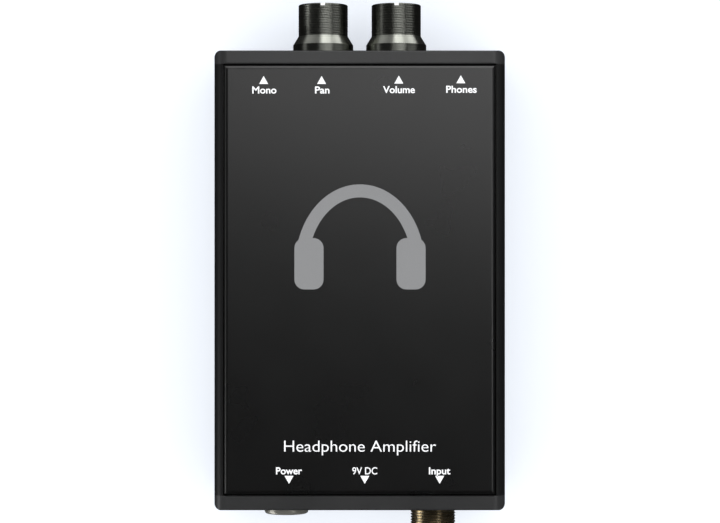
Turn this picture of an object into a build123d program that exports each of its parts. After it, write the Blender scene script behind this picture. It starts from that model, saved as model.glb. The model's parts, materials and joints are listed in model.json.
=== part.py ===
from build123d import *
import os

# Headphone amplifier in a pocket-size metal case. Millimetres.
# X runs across the case, Y along it towards the knobs, Z up. The origin is the
# centre of the bounding box's bottom, on the surface that the feet stand on.

# ---- driving dimensions ----
WIDTH = 76.2
CASE_LENGTH = 120.0
FOOT_HEIGHT = 2.0
RAIL_TOP = 37.6
PLATE_TOP = 38.0
KNOB_REACH = 13.7
CONNECTOR_REACH = 7.1
CONTROL_CAP_THICKNESS = 3.5
CONNECTOR_CAP_THICKNESS = 3.8
WALL = 2.5
FLOOR = 2.0
HEXAGON = 6

# heights and faces that follow from them
CASE_BOTTOM = FOOT_HEIGHT
FLOOR_TOP = CASE_BOTTOM + FLOOR
CASE_HEIGHT = RAIL_TOP - CASE_BOTTOM
HALF_WIDTH = WIDTH / 2
INNER_HALF = HALF_WIDTH - WALL
CONTROL_FACE = (CASE_LENGTH + CONNECTOR_REACH - KNOB_REACH) / 2
CONNECTOR_FACE = CONTROL_FACE - CASE_LENGTH
CONTROL_INNER = CONTROL_FACE - CONTROL_CAP_THICKNESS
CONNECTOR_INNER = CONNECTOR_FACE + CONNECTOR_CAP_THICKNESS
TUBE_LENGTH = CONTROL_INNER - CONNECTOR_INNER
MIDDLE = (CONTROL_FACE + CONNECTOR_FACE) / 2

# case extrusion
SHOULDER_RADIUS = 3.5
BOTTOM_RADIUS = 2.5
LEDGE_BOTTOM = 33.4
LEDGE_TOP = 34.9
LEDGE_HALF = 33.5
GROOVE_TOP = 36.0
GROOVE_HALF = 36.5
MOUTH_HALF = 35.65
BOARD_RAIL_HALF = 34.2
BOARD_RAIL_HEIGHT = 1.2
PORT_X = 32.9
PORT_HEIGHTS = (7.4, 31.6)
PORT_RADIUS = 2.8
PORT_WEB = 3.2
PORT_BORE = 1.5

# top plate
PLATE_HALF = 35.5
PLATE_BOTTOM = 35.9
PLATE_GAP = 0.25
PLATE_EDGE_RADIUS = 1.2
FLANGE_HALF = 36.4
FLANGE_INNER = 33.7

# end caps
CAP_PLAN_RADIUS = 1.8
CAP_EDGE_RADIUS = 0.5
CAP_INNER_CHAMFER = 0.3

# countersunk cap screws
SCREW_RADIUS = 1.45
SCREW_HOLE_RADIUS = 1.65
SCREW_HEAD_RADIUS = 2.85
SCREW_SINK_RADIUS = 2.95
SCREW_SINK_ANGLE = 90
SCREW_INSET = 0.05
SCREW_LENGTH = 10.0
SLOT_LENGTH = 3.0
SLOT_WIDTH = 0.6
SLOT_DEPTH = 1.0

# feet and clip inserts
FOOT_RADIUS = 5.0
FOOT_RECESS_RADIUS = 5.1
FOOT_RECESS_DEPTH = 0.5
FOOT_EDGE_RADIUS = 0.6
FOOT_SPACING_X = 58.0
FOOT_SPACING_Y = 96.0
INSERT_SPACING = 20.0
INSERT_Y = 42.0
INSERT_RADIUS = 2.1
INSERT_HEAD_RADIUS = 3.0
INSERT_TOP = 6.0
INSERT_BORE = 1.25

# battery compartment
BAY_HALF = 14.6
BAY_NEAR = -31.0
BAY_FAR = 29.0
DOOR_GAP = 0.3
DOOR_THICKNESS = 1.6
HINGE_Y = -29.6
HINGE_HEIGHT = 3.2
KNUCKLE_RADIUS = 1.2
HINGE_PIN_RADIUS = 0.6
HINGE_BORE_RADIUS = 0.66
HINGE_PIN_HALF = 17.0
GRIP_COUNT = 4
GRIP_PITCH = 1.6
GRIP_WIDTH = 0.7
GRIP_LENGTH = 14.0
GRIP_DEPTH = 0.5
GRIP_Y = 23.4
TRAY_WALL = 1.2
TRAY_CEILING = 22.6
TRAY_TOP = TRAY_CEILING + TRAY_WALL
TRAY_POST_RADIUS = 2.0
TRAY_POST_INSET = 3.0
BATTERY_WIDTH = 26.5
BATTERY_LENGTH = 46.2
BATTERY_HEIGHT = 17.5
BATTERY_BOTTOM = 4.8
BATTERY_FAR = 19.3
BATTERY_EDGE_RADIUS = 1.8
TERMINAL_SPACING = 12.7
TERMINAL_LENGTH = 2.3
STUD_RADIUS = 2.9
CROWN_RADIUS = 4.4
CROWN_BORE = 3.0
CONTACT_START = 20.0
CONTACT_PLATE_NEAR = 22.6
CONTACT_PLATE_THICKNESS = 1.6
CONTACT_PLATE_HALF = 14.4
CONTACT_PLATE_BOTTOM = 4.9
CONTACT_PLATE_TOP = 22.4
CONTACT_CUP_RADIUS = 4.2
CONTACT_CUP_BORE = 3.2
CONTACT_STUD_RADIUS = 2.6
RIVET_RADIUS = 1.0
STRIP_WIDTH = 3.0
STRIP_THICKNESS = 0.6
STRIP_SLOT_MARGIN = 0.3

# circuit board and what stands on it
BOARD_BOTTOM = 27.0
BOARD_THICKNESS = 1.6
BOARD_TOP = BOARD_BOTTOM + BOARD_THICKNESS
BOARD_HALF = 35.2
BOARD_END_GAP = 0.5
BOARD_CORNER_RADIUS = 1.0
CHIP_SIZE = (5.0, 3.9, 1.6)
CHIP_LEGS_SIZE = (5.8, 0.4, 0.3)
CHIP_PITCH = 14.0
CHIP_COUNT = 4
CHIP_LEG_COUNT = 3
CHIP_Y = 20.0
CAPACITOR_RADIUS = 2.5
CAPACITOR_HEIGHT = 6.0
CAPACITOR_RIM = 0.4
CAPACITOR_SPACING = (11.0, 13.0)
CAPACITOR_GRID = (4, 2)
CAPACITOR_Y = -14.0
RESISTOR_SIZE = (3.2, 1.6, 0.6)
RESISTOR_SPACING = (7.0, 4.5)
RESISTOR_GRID = (5, 2)
RESISTOR_Y = 34.0
REGULATOR_SIZE = (6.6, 6.2, 2.3)
REGULATOR_TAB = (5.4, 1.6, 0.6)
REGULATOR_Y = -40.0

# control and connector axes
AXIS_HEIGHT = 20.0
KNOB_X = 9.8
MONO_X = -25.2
PHONES_X = 26.2
POWER_X = -19.65
INPUT_X = 19.65

# potentiometers
POT_HALF = 6.5
POT_BOTTOM = 13.4
POT_NEAR = 44.2
POT_FRONT = 51.2
POT_CAVITY_RADIUS = 5.9
POT_CAVITY_DEPTH = 5.0
POT_PLATE_THICKNESS = 1.0
POT_SHOULDER_RADIUS = 5.0
BUSHING_RADIUS = 3.5
BUSHING_BORE = 3.05
BUSHING_END = 61.4
BUSHING_HOLE_RADIUS = 3.6
WASHER_RADIUS = 5.8
WASHER_THICKNESS = 0.5
POT_NUT_INRADIUS = 5.0
POT_NUT_THICKNESS = 2.0
SHAFT_RADIUS = 3.0
SHAFT_NEAR = 47.0
SHAFT_END = 68.8
SHAFT_FLAT = 2.4
SHAFT_FLAT_START = 62.4
ROTOR_RADIUS = 5.4
ROTOR_THICKNESS = 2.0

# knobs
KNOB_GAP = 0.4
KNOB_END = CONTROL_FACE + KNOB_REACH
KNOB_START = CONTROL_FACE + KNOB_GAP
KNOB_RADIUS = 6.62
SKIRT_RADIUS = 8.07
SKIRT_END = 59.6
CONE_END = 61.9
KNOB_EDGE_RADIUS = 0.4
KNOB_POCKET_RADIUS = 6.5
KNOB_POCKET_END = 60.2
KNOB_RELIEF_RADIUS = 3.8
KNOB_RELIEF_END = 61.7
KNOB_BORE = 3.02
KNOB_BORE_END = 69.0
POINTER_WIDTH = 1.15
POINTER_START = 2.2
POINTER_DEPTH = 0.7
SET_SCREW_RADIUS = 1.5
SET_SCREW_Y = 65.8
SET_SCREW_OUTER = 6.1
SET_SCREW_SOCKET = 0.75
SET_SCREW_SOCKET_DEPTH = 1.4

# push buttons
MONO_RADIUS = 2.95
MONO_HOLE_RADIUS = 3.2
MONO_FLANGE_RADIUS = 3.7
MONO_FLANGE_THICKNESS = 1.2
MONO_INSET = 0.1
MONO_BACK = 51.0
MONO_EDGE_RADIUS = 0.3
MONO_PLUNGER_SIDE = 3.0
MONO_PLUNGER_END = 41.5
MONO_CASE_HALF = 4.5
MONO_CASE_BOTTOM = 15.0
MONO_CASE_FRONT = 47.5
MONO_CASE_BACK = 38.5
MONO_SPRING_RADIUS = 2.75
POWER_RADIUS = 5.85
POWER_HOLE_RADIUS = 6.1
POWER_REACH = 2.8
POWER_DOME = 0.25
POWER_EDGE_RADIUS = 0.7
POWER_FLANGE_RADIUS = 6.6
POWER_FLANGE_START = -59.4
POWER_BACK = -58.0
POWER_PLUNGER_SIDE = 4.0
POWER_PLUNGER_END = -48.0
POWER_CASE_HALF = 6.0
POWER_CASE_BOTTOM = 14.0
POWER_CASE_FRONT = -54.0
POWER_CASE_BACK = -44.0
POWER_SPRING_RADIUS = 3.5
PLUNGER_CLEARANCE = 0.3
SWITCH_BACK_WALL = 1.0
SPRING_WIRE_RADIUS = 0.25
SPRING_PITCH = 0.95
SPRING_GAP = 0.3

# phones jack
PHONES_BORE = 1.8
PHONES_SLEEVE_RADIUS = 3.0
PHONES_HOLE_RADIUS = 3.05
PHONES_DEPTH = 14.0
PHONES_HALF = 5.5
PHONES_BOTTOM = 14.5
PHONES_FRONT = 52.7
PHONES_BACK = 36.7
PHONES_TIP_RADIUS = 2.4
PHONES_TIP_BACK = 38.2
TIP_CONTACT_WIDTH = 1.2
TIP_CONTACT_RISE = 1.9
TIP_CONTACT_THICKNESS = 0.3
TIP_CONTACT_START = 38.8

# direct-current jack
DC_NOSE_RADIUS = 4.5
DC_HOLE_RADIUS = 4.55
DC_HALF = 4.7
DC_BOTTOM = 14.5
DC_BACK = -46.0
DC_SOCKET_RADIUS = 3.1
DC_SOCKET_END = -51.0
DC_PIN_RADIUS = 1.05
DC_PIN_START = -62.3
DC_PIN_TIP_RADIUS = 0.4
DC_PIN_ROOT_RADIUS = 1.4
DC_PIN_ROOT_END = -47.5
DC_SPRING_WIDTH = 2.0
DC_SPRING_THICKNESS = 0.4
DC_SPRING_DROP = 2.9
DC_SPRING_START = -58.0
DC_SPRING_END = -50.0
DC_SLOT_MARGIN = 0.1
DC_SLOT_DROP = 4.4

# input connector
BARREL_RADIUS = 6.0
BARREL_BORE = 4.9
BARREL_STEP = -66.0
BARREL_EDGE_CHAMFER = 0.4
KEYWAY_WIDTH = 1.4
KEYWAY_DEPTH = 0.4
NECK_RADIUS = 5.1
NECK_BORE = 3.9
NECK_HOLE_RADIUS = 5.15
NECK_END = -52.0
INSULATOR_FACE = -67.0
INSULATOR_HEAD_RADIUS = 4.85
INSULATOR_STEM_RADIUS = 3.85
INSULATOR_END = -51.5
INPUT_PIN_COUNT = 5
INPUT_PIN_RADIUS = 0.45
INPUT_PIN_CIRCLE = 2.6
INPUT_PIN_START = -69.2
INPUT_UPPER_BEND = -49.5
INPUT_LOWER_BEND = -47.5
INPUT_TAIL_HALF = 0.35
INPUT_NUT_INRADIUS = 6.5
INPUT_NUT_THICKNESS = 2.5


# ---- helpers ----
def facing_connectors(y):
    """Plane across the case at y: local x is X, local y is Z, normal towards the connectors."""
    return Plane(origin=(0, y, 0), x_dir=(1, 0, 0), z_dir=(0, -1, 0))


def facing_controls(y):
    """Plane across the case at y, with its normal towards the controls and local y along Z."""
    return Plane(origin=(0, y, 0), x_dir=(-1, 0, 0), z_dir=(0, 1, 0))


def turning_axis(x):
    """Axis of everything that is turned about the line at x through the end caps."""
    return Axis((x, 0, AXIS_HEIGHT), (0, 1, 0))


def half_section(x, points):
    """Half section of a turned piece on the axis at x, from (radius, y) points."""
    with BuildSketch(Plane.XY.offset(AXIS_HEIGHT)) as section:
        with BuildLine():
            Polyline([(x + radius, y) for radius, y in points], close=True)
        make_face()
    return section.sketch


def cross_section(y, x_range, z_range):
    """Rectangle across the case at y, from its x and z limits."""
    size = (x_range[1] - x_range[0], z_range[1] - z_range[0])
    centre = (sum(x_range) / 2, sum(z_range) / 2)
    with BuildSketch(facing_connectors(y)) as section:
        with Locations(centre):
            Rectangle(*size)
    return section.sketch


def around(centre, half):
    """Limits of a span that reaches half each way from its centre."""
    return (centre - half, centre + half)


def save(piece, name):
    """Label a finished piece and write it to its own file."""
    piece.part.label = name
    export_step(piece.part, f"parts/{name}.step")


os.makedirs("parts", exist_ok=True)
PORT_POINTS = [(side * PORT_X, height) for side in (-1, 1) for height in PORT_HEIGHTS]
BAY_LENGTH = BAY_FAR - BAY_NEAR
BAY_MIDDLE = (BAY_FAR + BAY_NEAR) / 2


# ---- case body: one extrusion with shoulders, plate grooves, board rails and screw ports ----
with BuildPart() as case_body:
    with BuildSketch(facing_connectors(CONTROL_INNER)) as section:
        with Locations((0, CASE_BOTTOM + CASE_HEIGHT / 2)):
            Rectangle(WIDTH, CASE_HEIGHT)
        fillet(section.vertices().group_by(Axis.Y)[-1], SHOULDER_RADIUS)
        fillet(section.vertices().group_by(Axis.Y)[0], BOTTOM_RADIUS)
        with Locations((0, (FLOOR_TOP + LEDGE_BOTTOM) / 2)):
            Rectangle(2 * INNER_HALF, LEDGE_BOTTOM - FLOOR_TOP, mode=Mode.SUBTRACT)
        with Locations((0, (LEDGE_BOTTOM + LEDGE_TOP) / 2)):
            Rectangle(2 * LEDGE_HALF, LEDGE_TOP - LEDGE_BOTTOM, mode=Mode.SUBTRACT)
        with Locations((0, (LEDGE_TOP + GROOVE_TOP) / 2)):
            Rectangle(2 * GROOVE_HALF, GROOVE_TOP - LEDGE_TOP, mode=Mode.SUBTRACT)
        with Locations((0, (GROOVE_TOP + PLATE_TOP) / 2)):
            Rectangle(2 * MOUTH_HALF, PLATE_TOP - GROOVE_TOP, mode=Mode.SUBTRACT)
        for side in (-1, 1):
            rail_x = side * (BOARD_RAIL_HALF + INNER_HALF) / 2
            with Locations((rail_x, BOARD_BOTTOM - BOARD_RAIL_HEIGHT / 2)):
                Rectangle(INNER_HALF - BOARD_RAIL_HALF, BOARD_RAIL_HEIGHT)
            for height in PORT_HEIGHTS:
                with Locations((side * (PORT_X + INNER_HALF) / 2, height)):
                    Rectangle(INNER_HALF - PORT_X, PORT_WEB)
        with Locations(*PORT_POINTS):
            Circle(PORT_RADIUS)
            Circle(PORT_BORE, mode=Mode.SUBTRACT)
    extrude(amount=TUBE_LENGTH)
    # battery bay in the floor, with the holes for its hinge pin
    with BuildSketch(Plane.XY.offset(CASE_BOTTOM)):
        with Locations((0, BAY_MIDDLE)):
            Rectangle(2 * BAY_HALF, BAY_LENGTH)
    extrude(amount=FLOOR, mode=Mode.SUBTRACT)
    with BuildSketch(Plane.YZ):
        with Locations((HINGE_Y, HINGE_HEIGHT)):
            Circle(HINGE_PIN_RADIUS)
    extrude(amount=HINGE_PIN_HALF, both=True, mode=Mode.SUBTRACT)
    # recesses for the feet and holes for the clip inserts
    with BuildSketch(Plane.XY.offset(CASE_BOTTOM)):
        with Locations((0, MIDDLE)):
            with GridLocations(FOOT_SPACING_X, FOOT_SPACING_Y, 2, 2):
                Circle(FOOT_RECESS_RADIUS)
    extrude(amount=FOOT_RECESS_DEPTH, mode=Mode.SUBTRACT)
    with BuildSketch(Plane.XY.offset(CASE_BOTTOM)):
        with Locations((0, INSERT_Y)):
            with GridLocations(INSERT_SPACING, 0, 2, 1):
                Circle(INSERT_RADIUS)
    extrude(amount=FLOOR, mode=Mode.SUBTRACT)
save(case_body, "case_body")


# ---- top plate: slides into the case's grooves on a thin flange each side ----
with BuildPart() as top_plate:
    with BuildSketch(facing_connectors(CONTROL_INNER - PLATE_GAP)):
        with Locations((0, (PLATE_BOTTOM + PLATE_TOP) / 2)):
            Rectangle(2 * PLATE_HALF, PLATE_TOP - PLATE_BOTTOM)
        for side in (-1, 1):
            with Locations((side * (FLANGE_INNER + FLANGE_HALF) / 2, (LEDGE_TOP + PLATE_BOTTOM) / 2)):
                Rectangle(FLANGE_HALF - FLANGE_INNER, PLATE_BOTTOM - LEDGE_TOP)
    extrude(amount=TUBE_LENGTH - 2 * PLATE_GAP)
    fillet(top_plate.faces().sort_by(Axis.Z)[-1].edges(), PLATE_EDGE_RADIUS)
save(top_plate, "top_plate")


# ---- end caps: full-width plates, shaped in front, top and side view ----
def end_cap_blank(face, thickness):
    """End cap without holes, whose outer face lies in the given plane."""
    with BuildPart() as blank:
        with BuildSketch() as front_view:
            with Locations((0, CASE_BOTTOM + CASE_HEIGHT / 2)):
                Rectangle(WIDTH, CASE_HEIGHT)
            fillet(front_view.vertices().group_by(Axis.Y)[-1], SHOULDER_RADIUS)
            fillet(front_view.vertices().group_by(Axis.Y)[0], BOTTOM_RADIUS)
        extrude(amount=-thickness)
        with BuildSketch(Plane.XZ) as top_view:
            with Locations((0, -thickness / 2)):
                Rectangle(WIDTH, thickness)
            fillet(top_view.vertices().group_by(Axis.Y)[-1], CAP_PLAN_RADIUS)
        extrude(amount=-PLATE_TOP, mode=Mode.INTERSECT)
        with BuildSketch(Plane.YZ) as side_view:
            with Locations((CASE_BOTTOM + CASE_HEIGHT / 2, -thickness / 2)):
                Rectangle(CASE_HEIGHT, thickness)
            fillet(side_view.vertices().group_by(Axis.Y)[-1], CAP_EDGE_RADIUS)
            chamfer(side_view.vertices().group_by(Axis.Y)[0].sort_by(Axis.X)[-1], CAP_INNER_CHAMFER)
        extrude(amount=HALF_WIDTH, both=True, mode=Mode.INTERSECT)
    return face.from_local_coords(blank.part)


with BuildPart() as control_end_cap:
    add(end_cap_blank(facing_controls(CONTROL_FACE), CONTROL_CAP_THICKNESS))
    with BuildSketch(facing_connectors(CONTROL_FACE)):
        with Locations((-KNOB_X, AXIS_HEIGHT), (KNOB_X, AXIS_HEIGHT)):
            Circle(BUSHING_HOLE_RADIUS)
        with Locations((MONO_X, AXIS_HEIGHT)):
            Circle(MONO_HOLE_RADIUS)
        with Locations((PHONES_X, AXIS_HEIGHT)):
            Circle(PHONES_HOLE_RADIUS)
    extrude(amount=CONTROL_CAP_THICKNESS, mode=Mode.SUBTRACT)
    with Locations(facing_controls(CONTROL_FACE)):
        with Locations(*PORT_POINTS):
            CounterSinkHole(
                SCREW_HOLE_RADIUS, SCREW_SINK_RADIUS, CONTROL_CAP_THICKNESS, SCREW_SINK_ANGLE
            )
save(control_end_cap, "control_end_cap")


with BuildPart() as connector_end_cap:
    add(end_cap_blank(facing_connectors(CONNECTOR_FACE), CONNECTOR_CAP_THICKNESS))
    with BuildSketch(facing_connectors(CONNECTOR_INNER)):
        with Locations((POWER_X, AXIS_HEIGHT)):
            Circle(POWER_HOLE_RADIUS)
        with Locations((0, AXIS_HEIGHT)):
            Circle(DC_HOLE_RADIUS)
        with Locations((INPUT_X, AXIS_HEIGHT)):
            Circle(NECK_HOLE_RADIUS)
    extrude(amount=CONNECTOR_CAP_THICKNESS, mode=Mode.SUBTRACT)
    with Locations(facing_connectors(CONNECTOR_FACE)):
        with Locations(*PORT_POINTS):
            CounterSinkHole(
                SCREW_HOLE_RADIUS, SCREW_SINK_RADIUS, CONNECTOR_CAP_THICKNESS, SCREW_SINK_ANGLE
            )
save(connector_end_cap, "connector_end_cap")


# ---- cap screws: four countersunk screws with a cross recess in each end ----
def cap_screws(face):
    """Four screws whose heads lie just under the given face plane."""
    head_height = SCREW_HEAD_RADIUS - SCREW_RADIUS
    inwards = (Align.CENTER, Align.CENTER, Align.MAX)
    with BuildPart() as screws:
        with Locations(face):
            with Locations(*[(x, z, -SCREW_INSET) for x, z in PORT_POINTS]):
                Cone(SCREW_RADIUS, SCREW_HEAD_RADIUS, head_height, align=inwards)
            with Locations(*[(x, z, -SCREW_INSET - head_height) for x, z in PORT_POINTS]):
                Cylinder(SCREW_RADIUS, SCREW_LENGTH, align=inwards)
            with Locations(*[(x, z, -SCREW_INSET) for x, z in PORT_POINTS]):
                for length, width in ((SLOT_LENGTH, SLOT_WIDTH), (SLOT_WIDTH, SLOT_LENGTH)):
                    Box(length, width, 2 * SLOT_DEPTH, mode=Mode.SUBTRACT)
    return screws


save(cap_screws(facing_controls(CONTROL_FACE)), "control_cap_screws")
save(cap_screws(facing_connectors(CONNECTOR_FACE)), "connector_cap_screws")


# ---- rubber feet ----
with BuildPart() as rubber_feet:
    with BuildSketch(Plane.XY):
        with Locations((0, MIDDLE)):
            with GridLocations(FOOT_SPACING_X, FOOT_SPACING_Y, 2, 2):
                Circle(FOOT_RADIUS)
    extrude(amount=FOOT_HEIGHT + FOOT_RECESS_DEPTH)
    fillet(rubber_feet.edges().group_by(Axis.Z)[0], FOOT_EDGE_RADIUS)
save(rubber_feet, "rubber_feet")


# ---- threaded inserts that take a belt or stand clip under the case ----
with BuildPart() as clip_inserts:
    with BuildSketch(Plane.XY.offset(CASE_BOTTOM)):
        with Locations((0, INSERT_Y)):
            with GridLocations(INSERT_SPACING, 0, 2, 1):
                Circle(INSERT_RADIUS)
    extrude(amount=FLOOR)
    with BuildSketch(Plane.XY.offset(FLOOR_TOP)):
        with Locations((0, INSERT_Y)):
            with GridLocations(INSERT_SPACING, 0, 2, 1):
                Circle(INSERT_HEAD_RADIUS)
    extrude(amount=INSERT_TOP - FLOOR_TOP)
    with BuildSketch(Plane.XY.offset(CASE_BOTTOM)):
        with Locations((0, INSERT_Y)):
            with GridLocations(INSERT_SPACING, 0, 2, 1):
                Circle(INSERT_BORE)
    extrude(amount=INSERT_TOP - CASE_BOTTOM, mode=Mode.SUBTRACT)
save(clip_inserts, "clip_inserts")


# ---- battery door: hinged at its near end on a steel pin ----
with BuildPart() as battery_door:
    door_half = BAY_HALF - DOOR_GAP
    door_end = BAY_FAR - DOOR_GAP
    with BuildSketch(Plane.YZ):
        with Locations(((HINGE_Y + door_end) / 2, CASE_BOTTOM + DOOR_THICKNESS / 2)):
            Rectangle(door_end - HINGE_Y, DOOR_THICKNESS)
        with Locations((HINGE_Y, HINGE_HEIGHT)):
            Circle(KNUCKLE_RADIUS)
            Circle(HINGE_BORE_RADIUS, mode=Mode.SUBTRACT)
    extrude(amount=door_half, both=True)
    with BuildSketch(Plane.XY.offset(CASE_BOTTOM)):
        with Locations((0, GRIP_Y)):
            with GridLocations(0, GRIP_PITCH, 1, GRIP_COUNT):
                Rectangle(GRIP_LENGTH, GRIP_WIDTH)
    extrude(amount=GRIP_DEPTH, mode=Mode.SUBTRACT)
save(battery_door, "battery_door")

with BuildPart() as door_hinge_pin:
    with BuildSketch(Plane.YZ):
        with Locations((HINGE_Y, HINGE_HEIGHT)):
            Circle(HINGE_PIN_RADIUS)
    extrude(amount=HINGE_PIN_HALF, both=True)
save(door_hinge_pin, "door_hinge_pin")


# ---- battery tray: open box over the bay, hung from the board on four posts ----
STRIP_START = CONTACT_PLATE_NEAR + CONTACT_PLATE_THICKNESS
TERMINAL_HEIGHT = BATTERY_BOTTOM + BATTERY_HEIGHT / 2
with BuildPart() as battery_tray:
    with BuildSketch(Plane.XY.offset(FLOOR_TOP)):
        with Locations((0, BAY_MIDDLE)):
            Rectangle(2 * (BAY_HALF + TRAY_WALL), BAY_LENGTH + 2 * TRAY_WALL)
    extrude(amount=TRAY_TOP - FLOOR_TOP)
    with BuildSketch(Plane.XY.offset(FLOOR_TOP)):
        with Locations((0, BAY_MIDDLE)):
            Rectangle(2 * BAY_HALF, BAY_LENGTH)
    extrude(amount=TRAY_CEILING - FLOOR_TOP, mode=Mode.SUBTRACT)
    with BuildSketch(Plane.XY.offset(TRAY_CEILING)):
        with Locations((0, STRIP_START + STRIP_THICKNESS / 2)):
            with GridLocations(TERMINAL_SPACING, 0, 2, 1):
                Rectangle(STRIP_WIDTH + 2 * STRIP_SLOT_MARGIN, STRIP_THICKNESS + 2 * STRIP_SLOT_MARGIN)
    extrude(amount=TRAY_WALL, mode=Mode.SUBTRACT)
    with BuildSketch(Plane.XY.offset(TRAY_TOP)):
        with Locations((0, BAY_MIDDLE)):
            with GridLocations(2 * (BAY_HALF - TRAY_POST_INSET), BAY_LENGTH, 2, 2):
                Circle(TRAY_POST_RADIUS)
    extrude(amount=BOARD_BOTTOM - TRAY_TOP)
save(battery_tray, "battery_tray")


# ---- battery with its snap terminals, and the plate and contacts that meet them ----
with BuildPart() as battery:
    with BuildSketch(facing_connectors(BATTERY_FAR)):
        with Locations((0, TERMINAL_HEIGHT)):
            cell = Rectangle(BATTERY_WIDTH, BATTERY_HEIGHT)
        fillet(cell.vertices(), BATTERY_EDGE_RADIUS)
    extrude(amount=BATTERY_LENGTH)
save(battery, "battery")

STUD_X = -TERMINAL_SPACING / 2
CROWN_X = TERMINAL_SPACING / 2
with BuildPart() as battery_terminals:
    with BuildSketch(facing_connectors(BATTERY_FAR + TERMINAL_LENGTH)):
        with Locations((STUD_X, TERMINAL_HEIGHT)):
            Circle(STUD_RADIUS)
        with Locations((CROWN_X, TERMINAL_HEIGHT)):
            RegularPolygon(CROWN_RADIUS, HEXAGON)
            Circle(CROWN_BORE, mode=Mode.SUBTRACT)
    extrude(amount=TERMINAL_LENGTH)
save(battery_terminals, "battery_terminals")

with BuildPart() as battery_contact_plate:
    plate_end = CONTACT_PLATE_NEAR + CONTACT_PLATE_THICKNESS
    extrude(
        cross_section(plate_end, around(0, CONTACT_PLATE_HALF), (CONTACT_PLATE_BOTTOM, CONTACT_PLATE_TOP)),
        amount=CONTACT_PLATE_THICKNESS,
    )
    with BuildSketch(facing_connectors(plate_end)):
        with Locations((STUD_X, TERMINAL_HEIGHT), (CROWN_X, TERMINAL_HEIGHT)):
            Circle(RIVET_RADIUS)
    extrude(amount=CONTACT_PLATE_THICKNESS, mode=Mode.SUBTRACT)
save(battery_contact_plate, "battery_contact_plate")

with BuildPart() as battery_contacts:
    for x in (STUD_X, CROWN_X):
        extrude(
            cross_section(
                STRIP_START + STRIP_THICKNESS,
                around(x, STRIP_WIDTH / 2),
                (TERMINAL_HEIGHT - STRIP_WIDTH / 2, BOARD_BOTTOM),
            ),
            amount=STRIP_THICKNESS,
        )
    with BuildSketch(facing_connectors(STRIP_START)):
        with Locations((STUD_X, TERMINAL_HEIGHT), (CROWN_X, TERMINAL_HEIGHT)):
            Circle(RIVET_RADIUS)
    extrude(amount=CONTACT_PLATE_THICKNESS)
    cup_floor = CONTACT_PLATE_NEAR - STRIP_THICKNESS
    with BuildSketch(facing_connectors(CONTACT_PLATE_NEAR)):
        with Locations((STUD_X, TERMINAL_HEIGHT)):
            Circle(CONTACT_CUP_RADIUS)
        with Locations((CROWN_X, TERMINAL_HEIGHT)):
            Circle(CONTACT_STUD_RADIUS)
    extrude(amount=CONTACT_PLATE_NEAR - cup_floor)
    with BuildSketch(facing_connectors(cup_floor)):
        with Locations((STUD_X, TERMINAL_HEIGHT)):
            Circle(CONTACT_CUP_RADIUS)
            Circle(CONTACT_CUP_BORE, mode=Mode.SUBTRACT)
        with Locations((CROWN_X, TERMINAL_HEIGHT)):
            Circle(CONTACT_STUD_RADIUS)
    extrude(amount=cup_floor - CONTACT_START)
save(battery_contacts, "battery_contacts")


# ---- main board and the small parts on its upper face ----
BOARD_LENGTH = TUBE_LENGTH - 2 * BOARD_END_GAP
with BuildPart() as main_board:
    with BuildSketch(Plane.XY.offset(BOARD_BOTTOM)):
        with Locations((0, MIDDLE)):
            board = Rectangle(2 * BOARD_HALF, BOARD_LENGTH)
        fillet(board.vertices(), BOARD_CORNER_RADIUS)
    extrude(amount=BOARD_THICKNESS)
save(main_board, "main_board")

ON_BOARD = (Align.CENTER, Align.CENTER, Align.MIN)
with BuildPart() as amp_chips:
    with Locations((0, CHIP_Y, BOARD_TOP)):
        with GridLocations(CHIP_PITCH, 0, CHIP_COUNT, 1):
            Box(*CHIP_SIZE, align=ON_BOARD)
            with GridLocations(0, (CHIP_SIZE[1] - CHIP_LEGS_SIZE[1]) / 2, 1, CHIP_LEG_COUNT):
                Box(*CHIP_LEGS_SIZE, align=ON_BOARD)
save(amp_chips, "amp_chips")

with BuildPart() as capacitors:
    with BuildSketch(Plane.XY.offset(BOARD_TOP)):
        with Locations((0, CAPACITOR_Y)):
            with GridLocations(*CAPACITOR_SPACING, *CAPACITOR_GRID):
                Circle(CAPACITOR_RADIUS)
    extrude(amount=CAPACITOR_HEIGHT)
    fillet(capacitors.edges().group_by(Axis.Z)[-1], CAPACITOR_RIM)
save(capacitors, "capacitors")

with BuildPart() as resistors:
    with Locations((0, RESISTOR_Y, BOARD_TOP)):
        with GridLocations(*RESISTOR_SPACING, *RESISTOR_GRID):
            Box(*RESISTOR_SIZE, align=ON_BOARD)
save(resistors, "resistors")

with BuildPart() as regulator:
    with Locations((0, REGULATOR_Y, BOARD_TOP)):
        Box(*REGULATOR_SIZE, align=ON_BOARD)
        with Locations((0, -(REGULATOR_SIZE[1] + REGULATOR_TAB[1]) / 2)):
            Box(*REGULATOR_TAB, align=ON_BOARD)
save(regulator, "regulator")


# ---- potentiometers ----
def pot_case(x):
    """Square pot body, open to the front, its top against the board."""
    with BuildPart() as case:
        extrude(
            cross_section(POT_FRONT, around(x, POT_HALF), (POT_BOTTOM, BOARD_BOTTOM)),
            amount=POT_FRONT - POT_NEAR,
        )
        with BuildSketch(facing_connectors(POT_FRONT)):
            with Locations((x, AXIS_HEIGHT)):
                Circle(POT_CAVITY_RADIUS)
        extrude(amount=POT_CAVITY_DEPTH, mode=Mode.SUBTRACT)
    return case


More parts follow.
